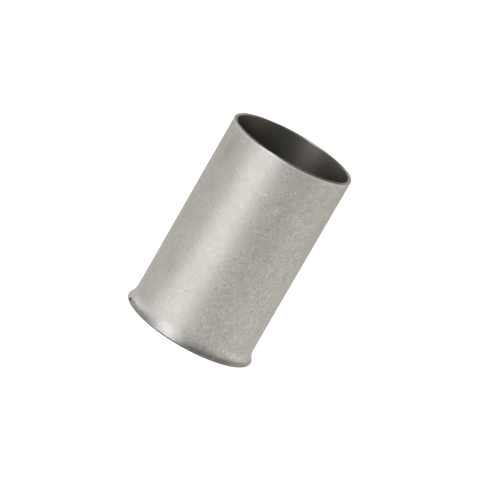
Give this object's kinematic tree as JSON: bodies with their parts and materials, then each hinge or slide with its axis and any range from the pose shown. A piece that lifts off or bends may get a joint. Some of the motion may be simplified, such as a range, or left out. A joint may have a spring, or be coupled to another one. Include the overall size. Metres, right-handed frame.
{
  "type": "wire ferrule",
  "caption": "Bare wire ferrule: a thin tinned metal sleeve, cut square at one end and flared into a rounded lip where the conductor goes in.",
  "frame": {"origin": "centre of the ring that the flared lip stands on, on the sleeve's axis", "axes": "+Z along the sleeve's axis, from the flared mouth up to the cut end"},
  "size_m": [0.0164, 0.0164, 0.025],
  "materials": {
    "tin_plate": "matte tin plating, slightly warm grey, finely mottled"
  },
  "bodies": {
    "root": {"sleeve": "tin_plate"}
  },
  "joints": []
}
